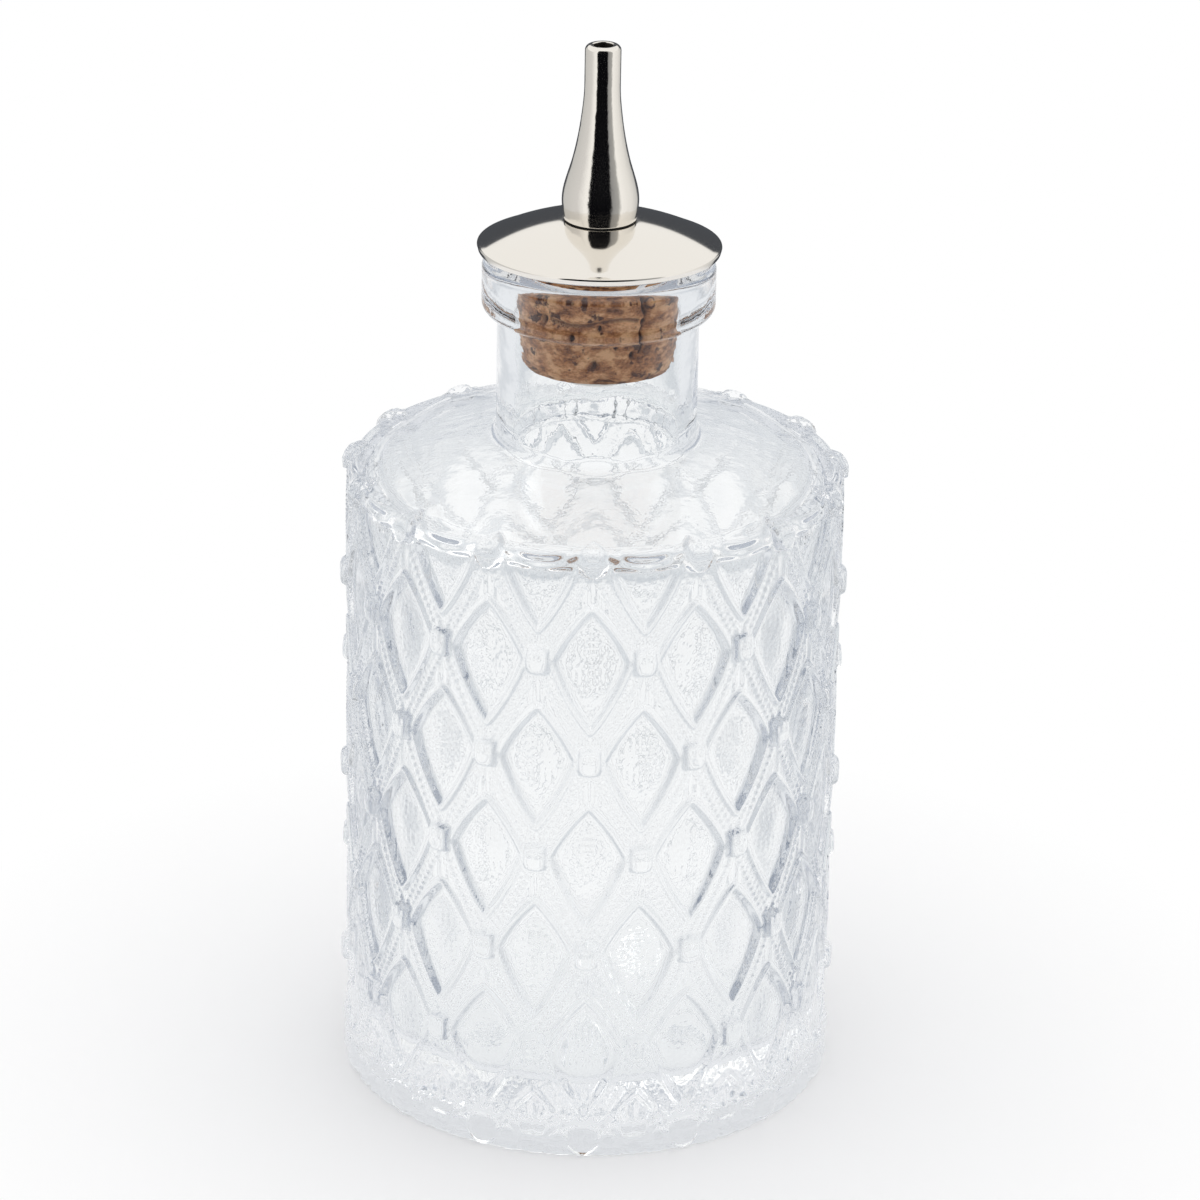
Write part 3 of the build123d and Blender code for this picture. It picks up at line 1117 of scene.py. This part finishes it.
def set_camera():
    """A camera at the photograph's viewing angle."""
    data = bpy.data.cameras.new("view_camera")
    data.lens = camera_lens
    camera = bpy.data.objects.new("view_camera", data)
    camera.location = camera_place
    camera.rotation_mode = "XYZ"
    camera.rotation_euler = (math.pi / 2 - camera_pitch, 0, 0)
    bpy.context.scene.collection.objects.link(camera)
    bpy.context.view_layer.update()
    camera.matrix_world = camera.matrix_world @ Matrix.Rotation(camera_roll, 4, "Z")
    bpy.context.scene.camera = camera


def mirrored_band(tree, place):
    """What metal shows of the studio by a place's compass direction, and the parts of the place."""
    separate = node(tree, "ShaderNodeSeparateXYZ")
    tree.links.new(place, separate.inputs["Vector"])
    parts = separate.outputs
    turned_round = worked(tree, "MULTIPLY", parts["Y"], -1)
    compass = worked(tree, "ARCTAN2", parts["X"], turned_round)
    turn_share = laid_over(tree, compass, -math.pi, math.pi)
    return ramp(tree, turn_share, studio_stops), parts


def in_mirror(tree, path):
    """1 for rays that metal sent on, and 0 for those that came through glass or off its sharp surface."""
    off_metal = path["Is Glossy Ray"]
    for other in ("Is Transmission Ray", "Is Singular Ray"):
        off_metal = worked(tree, "SUBTRACT", off_metal, path[other], use_clamp=True)
    return off_metal


def panel_colour(tree, place):
    """What glass shows of the floor: a bright oval panel behind the bottle with a greyer ring round it."""
    centred = worked_place(tree, "SUBTRACT", place, (0, panel_centre, 0))["Vector"]
    scaled = worked_place(tree, "DIVIDE", centred, (panel_half_width, panel_half_depth, 1))["Vector"]
    reach = worked_place(tree, "LENGTH", scaled)["Value"]
    return ramp(tree, worked(tree, "MULTIPLY", reach, panel_edge_share), panel_stops, "EASE")


def floor_paper():
    """Pale paper that fades to white for the camera. Metal shows the studio there, and glass the panel."""
    material, tree, paper = shader("floor_paper")
    paper.inputs["Roughness"].default_value = paper_roughness
    paper.inputs["Specular IOR Level"].default_value = paper_shine
    place = node(tree, "ShaderNodeTexCoord").outputs["Object"]
    path = node(tree, "ShaderNodeLightPath").outputs
    band, parts = mirrored_band(tree, place)
    reach = worked_place(tree, "LENGTH", place)["Value"]

    # The glass's own sharp reflections of the floor in front would veil the cork, so it is dark to them.
    in_front = laid_over(tree, parts["Y"], dark_front_start, dark_front_end)
    off_glass = worked(tree, "MULTIPLY", path["Is Singular Ray"], in_front)
    tree.links.new(blend(tree, off_glass, paper_colour, dark_front_colour), paper.inputs["Base Color"])

    studio = node(tree, "ShaderNodeEmission")
    tree.links.new(band, studio.inputs["Color"])
    beyond_table = laid_over(tree, reach, card_start, card_start + card_fade)
    mirror_share = worked(tree, "MULTIPLY", in_mirror(tree, path), beyond_table)
    reflected = mixed(tree, mirror_share, paper.outputs["BSDF"], studio.outputs["Emission"])

    lit = node(tree, "ShaderNodeEmission")
    through_glass = path["Is Transmission Ray"]
    tree.links.new(blend(tree, through_glass, white, panel_colour(tree, place)), lit.inputs["Color"])
    fade = laid_over(tree, reach, white_start, white_end)
    seen = worked(tree, "MULTIPLY", fade, path["Is Camera Ray"])
    lit_share = worked(tree, "MAXIMUM", seen, through_glass)
    surface = mixed(tree, lit_share, reflected, lit.outputs["Emission"])
    tree.links.new(surface, tree.nodes["Material Output"].inputs["Surface"])
    return material


def set_floor():
    """A plain pale floor at the height of the bottle's foot."""
    mesh = bpy.data.meshes.new("floor")
    corners = [(-floor_reach, -floor_reach, 0), (floor_reach, -floor_reach, 0),
               (floor_reach, floor_reach, 0), (-floor_reach, floor_reach, 0)]
    mesh.from_pydata(corners, [], [(0, 1, 2, 3)])
    mesh.materials.append(floor_paper())
    floor = bpy.data.objects.new("floor", mesh)
    bpy.context.scene.collection.objects.link(floor)


def set_world():
    """A bright studio that is white where the camera looks, with dark cards for the metal to show."""
    world = bpy.data.worlds.new("studio")
    bpy.context.scene.world = world
    world.use_nodes = True
    tree = world.node_tree
    place = node(tree, "ShaderNodeTexCoord").outputs["Generated"]
    path = node(tree, "ShaderNodeLightPath").outputs
    band, parts = mirrored_band(tree, place)
    high = laid_over(tree, parts["Z"], open_sky_start, open_sky_end)
    over_front = laid_over(tree, parts["Y"], open_front_start, open_front_end)
    mirrored = blend(tree, worked(tree, "MULTIPLY", high, over_front), band, open_sky_colour)
    rise_share = laid_over(tree, parts["Z"], -1.0, 1.0)
    colour = blend(tree, in_mirror(tree, path), ramp(tree, rise_share, sky_stops), mirrored)
    colour = blend(tree, path["Is Diffuse Ray"], colour, diffuse_sky_colour)
    colour = blend(tree, path["Is Camera Ray"], colour, white)
    tree.links.new(colour, tree.nodes["Background"].inputs["Color"])


def set_lamp():
    """One large soft lamp above the back left."""
    data = bpy.data.lights.new("soft_lamp", "AREA")
    data.shape = "RECTANGLE"
    data.size = lamp_width
    data.size_y = lamp_depth
    data.energy = lamp_watts
    lamp = bpy.data.objects.new("soft_lamp", data)
    lamp.visible_glossy = False
    lamp.location = lamp_place
    lamp.rotation_euler = lamp_tilt
    bpy.context.scene.collection.objects.link(lamp)


set_camera()
set_floor()
set_world()
set_lamp()
bpy.context.scene.view_settings.view_transform = "Standard"
